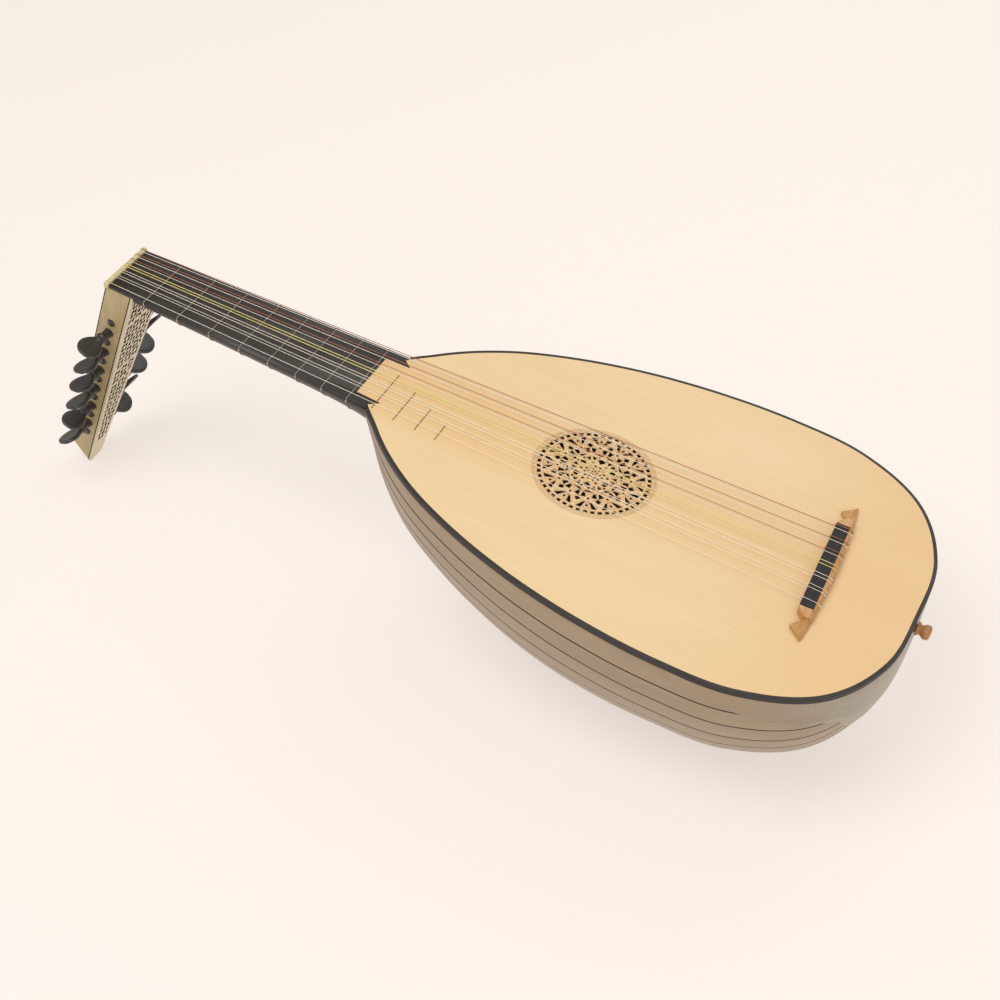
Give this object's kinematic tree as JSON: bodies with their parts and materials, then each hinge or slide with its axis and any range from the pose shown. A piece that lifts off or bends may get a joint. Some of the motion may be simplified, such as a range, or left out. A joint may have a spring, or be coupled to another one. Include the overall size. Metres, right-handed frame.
{
  "type": "renaissance lute",
  "caption": "Plucked string instrument with a ribbed round-backed bowl, carved rose, tied frets, paired strings and a pegbox bent back from the neck.",
  "frame": {"origin": "on the soundboard's top face, on the centre line, midway between nut and bridge", "axes": "+X along the strings to the tail, +Y to the bass side, +Z out of the soundboard"},
  "size_m": [0.7458, 0.2966, 0.2377],
  "materials": {
    "spruce_soundboard": "pale spruce under a thin satin varnish",
    "bowl_rib_wood": "grey-brown hardwood, satin varnish",
    "pale_pegbox_wood": "pale close-grained hardwood, satin",
    "fruitwood_bridge": "warm brown fruitwood, satin",
    "black_hardwood": "black hardwood, satin",
    "bone_nut": "polished bone",
    "inner_block_wood": "bare softwood",
    "white_string": "smooth translucent white",
    "yellow_string": "smooth pale yellow gut",
    "red_string": "smooth red-brown"
  },
  "bodies": {
    "lute": {"bridge": "fruitwood_bridge", "bridge_cap": "black_hardwood", "edge_binding": "black_hardwood", "end_button": "fruitwood_bridge", "fingerboard": "black_hardwood", "neck": "black_hardwood", "neck_block": "inner_block_wood", "nut": "bone_nut", "pegbox_back": "pale_pegbox_wood", "pegbox_cheek_bass": "pale_pegbox_wood", "pegbox_cheek_treble": "pale_pegbox_wood", "rib_01": "bowl_rib_wood", "rib_02": "bowl_rib_wood", "rib_03": "bowl_rib_wood", "rib_04": "bowl_rib_wood", "rib_05": "bowl_rib_wood", "rib_06": "bowl_rib_wood", "rib_07": "bowl_rib_wood", "rib_08": "bowl_rib_wood", "rib_09": "bowl_rib_wood", "rib_10": "bowl_rib_wood", "rib_11": "bowl_rib_wood", "rib_12": "bowl_rib_wood", "rib_13": "bowl_rib_wood", "rib_14": "bowl_rib_wood", "rib_15": "bowl_rib_wood", "rib_16": "bowl_rib_wood", "rib_17": "bowl_rib_wood", "rib_18": "bowl_rib_wood", "rib_19": "bowl_rib_wood", "rib_20": "bowl_rib_wood", "rib_21": "bowl_rib_wood", "soundboard": "spruce_soundboard", "string_1": "white_string", "string_2a": "white_string", "string_2b": "white_string", "string_3a": "white_string", "string_3b": "white_string", "string_4a": "yellow_string", "string_4b": "yellow_string", "string_5a": "white_string", "string_5b": "red_string", "string_6a": "white_string", "string_6b": "red_string", "string_7a": "white_string", "string_7b": "red_string", "tail_block": "bowl_rib_wood"},
    "peg_1": {"peg_1": "black_hardwood"},
    "peg_2a": {"peg_2a": "black_hardwood"},
    "peg_2b": {"peg_2b": "black_hardwood"},
    "peg_3a": {"peg_3a": "black_hardwood"},
    "peg_3b": {"peg_3b": "black_hardwood"},
    "peg_4a": {"peg_4a": "black_hardwood"},
    "peg_4b": {"peg_4b": "black_hardwood"},
    "peg_5a": {"peg_5a": "black_hardwood"},
    "peg_5b": {"peg_5b": "black_hardwood"},
    "peg_6a": {"peg_6a": "black_hardwood"},
    "peg_6b": {"peg_6b": "black_hardwood"},
    "peg_7a": {"peg_7a": "black_hardwood"},
    "peg_7b": {"peg_7b": "black_hardwood"}
  },
  "joints": [
    {"name": "peg_1_turn", "type": "hinge", "parent": "lute", "child": "peg_1", "pos_m": [-0.30101, 0, -0.05347], "axis": [0.0872, 0.9962, 0], "continuous": true},
    {"name": "peg_2a_turn", "type": "hinge", "parent": "lute", "child": "peg_2a", "pos_m": [-0.30696, 0, -0.07817], "axis": [0.0872, 0.9962, 0], "continuous": true},
    {"name": "peg_2b_turn", "type": "hinge", "parent": "lute", "child": "peg_2b", "pos_m": [-0.3129, 0, -0.10286], "axis": [0.0872, 0.9962, 0], "continuous": true},
    {"name": "peg_3a_turn", "type": "hinge", "parent": "lute", "child": "peg_3a", "pos_m": [-0.31885, 0, -0.12756], "axis": [0.0872, 0.9962, 0], "continuous": true},
    {"name": "peg_3b_turn", "type": "hinge", "parent": "lute", "child": "peg_3b", "pos_m": [-0.32479, 0, -0.15226], "axis": [0.0872, 0.9962, 0], "continuous": true},
    {"name": "peg_4a_turn", "type": "hinge", "parent": "lute", "child": "peg_4a", "pos_m": [-0.33073, 0, -0.17695], "axis": [0.0872, 0.9962, 0], "continuous": true},
    {"name": "peg_4b_turn", "type": "hinge", "parent": "lute", "child": "peg_4b", "pos_m": [-0.33371, 0, -0.1893], "axis": [0.0872, 0.9962, 0], "continuous": true},
    {"name": "peg_5a_turn", "type": "hinge", "parent": "lute", "child": "peg_5a", "pos_m": [-0.32776, 0, -0.1646], "axis": [0.0872, 0.9962, 0], "continuous": true},
    {"name": "peg_5b_turn", "type": "hinge", "parent": "lute", "child": "peg_5b", "pos_m": [-0.32182, 0, -0.13991], "axis": [0.0872, 0.9962, 0], "continuous": true},
    {"name": "peg_6a_turn", "type": "hinge", "parent": "lute", "child": "peg_6a", "pos_m": [-0.31587, 0, -0.11521], "axis": [0.0872, 0.9962, 0], "continuous": true},
    {"name": "peg_6b_turn", "type": "hinge", "parent": "lute", "child": "peg_6b", "pos_m": [-0.30993, 0, -0.09052], "axis": [0.0872, 0.9962, 0], "continuous": true},
    {"name": "peg_7a_turn", "type": "hinge", "parent": "lute", "child": "peg_7a", "pos_m": [-0.30399, 0, -0.06582], "axis": [0.0872, 0.9962, 0], "continuous": true},
    {"name": "peg_7b_turn", "type": "hinge", "parent": "lute", "child": "peg_7b", "pos_m": [-0.29804, 0, -0.04112], "axis": [0.0872, 0.9962, 0], "continuous": true}
  ]
}
